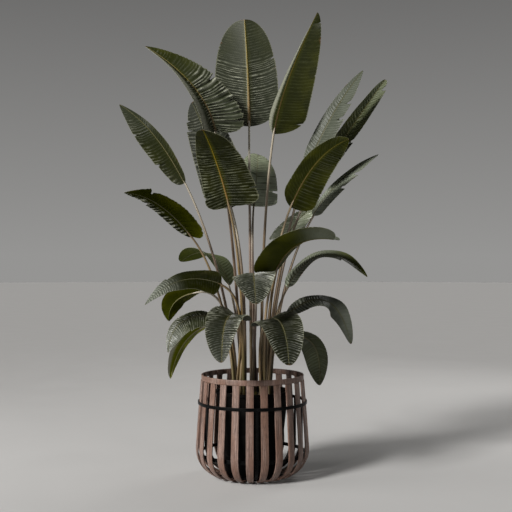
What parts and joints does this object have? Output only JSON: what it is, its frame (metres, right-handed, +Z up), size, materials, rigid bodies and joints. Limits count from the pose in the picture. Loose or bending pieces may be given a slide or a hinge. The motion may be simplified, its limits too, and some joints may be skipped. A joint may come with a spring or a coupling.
{
  "type": "potted banana plant",
  "caption": "Tall potted banana plant with upright and arching paddle leaves, standing in a round slatted wooden basket with a black metal ring.",
  "frame": {"origin": "centre of the basket's flat base, on the surface that it stands on", "axes": "+Z up along the basket's axis; -Y faces the viewer"},
  "size_m": [1.1747, 0.8424, 1.9512],
  "materials": {
    "slat_wood": "oiled brown slats with fine grain",
    "frame_metal": "black satin paint",
    "pot_plastic": "black matt nursery pot",
    "soil": "damp potting compost",
    "leaf_stalk": "satin, tan to yellow-green",
    "leaf_blade": "satin leaf green, ribbed"
  },
  "bodies": {
    "root": {"slat_01": "slat_wood", "slat_02": "slat_wood", "slat_03": "slat_wood", "slat_04": "slat_wood", "slat_05": "slat_wood", "slat_06": "slat_wood", "slat_07": "slat_wood", "slat_08": "slat_wood", "slat_09": "slat_wood", "slat_10": "slat_wood", "slat_11": "slat_wood", "slat_12": "slat_wood", "slat_13": "slat_wood", "slat_14": "slat_wood", "slat_15": "slat_wood", "slat_16": "slat_wood", "slat_17": "slat_wood", "slat_18": "slat_wood", "slat_19": "slat_wood", "slat_20": "slat_wood", "slat_21": "slat_wood", "slat_22": "slat_wood", "slat_23": "slat_wood", "slat_24": "slat_wood", "rim_hoop": "slat_wood", "base_disc": "slat_wood", "metal_frame": "frame_metal", "pot": "pot_plastic", "soil": "soil", "shoot_front_left": "leaf_stalk", "shoot_back_left": "leaf_stalk", "shoot_middle": "leaf_stalk", "shoot_front_right": "leaf_stalk", "shoot_back_right": "leaf_stalk", "blade_top_middle": "leaf_blade", "blade_top_left": "leaf_blade", "blade_top_right": "leaf_blade", "blade_right_pale": "leaf_blade", "blade_right_folded": "leaf_blade", "blade_left_high": "leaf_blade", "blade_back_high": "leaf_blade", "blade_front_high": "leaf_blade", "blade_left_behind": "leaf_blade", "blade_right_front_high": "leaf_blade", "blade_right_narrow": "leaf_blade", "blade_back_right": "leaf_blade", "blade_left_folded": "leaf_blade", "blade_right_arch_front": "leaf_blade", "blade_middle_droop": "leaf_blade", "blade_left_arch": "leaf_blade", "blade_back_left": "leaf_blade", "blade_right_arch": "leaf_blade", "blade_left_hang": "leaf_blade", "blade_right_low_arch": "leaf_blade", "blade_left_low_arch": "leaf_blade", "blade_front_left_droop": "leaf_blade", "blade_front_right_droop": "leaf_blade", "blade_left_low_hang": "leaf_blade", "blade_right_low_hang": "leaf_blade"}
  },
  "joints": []
}
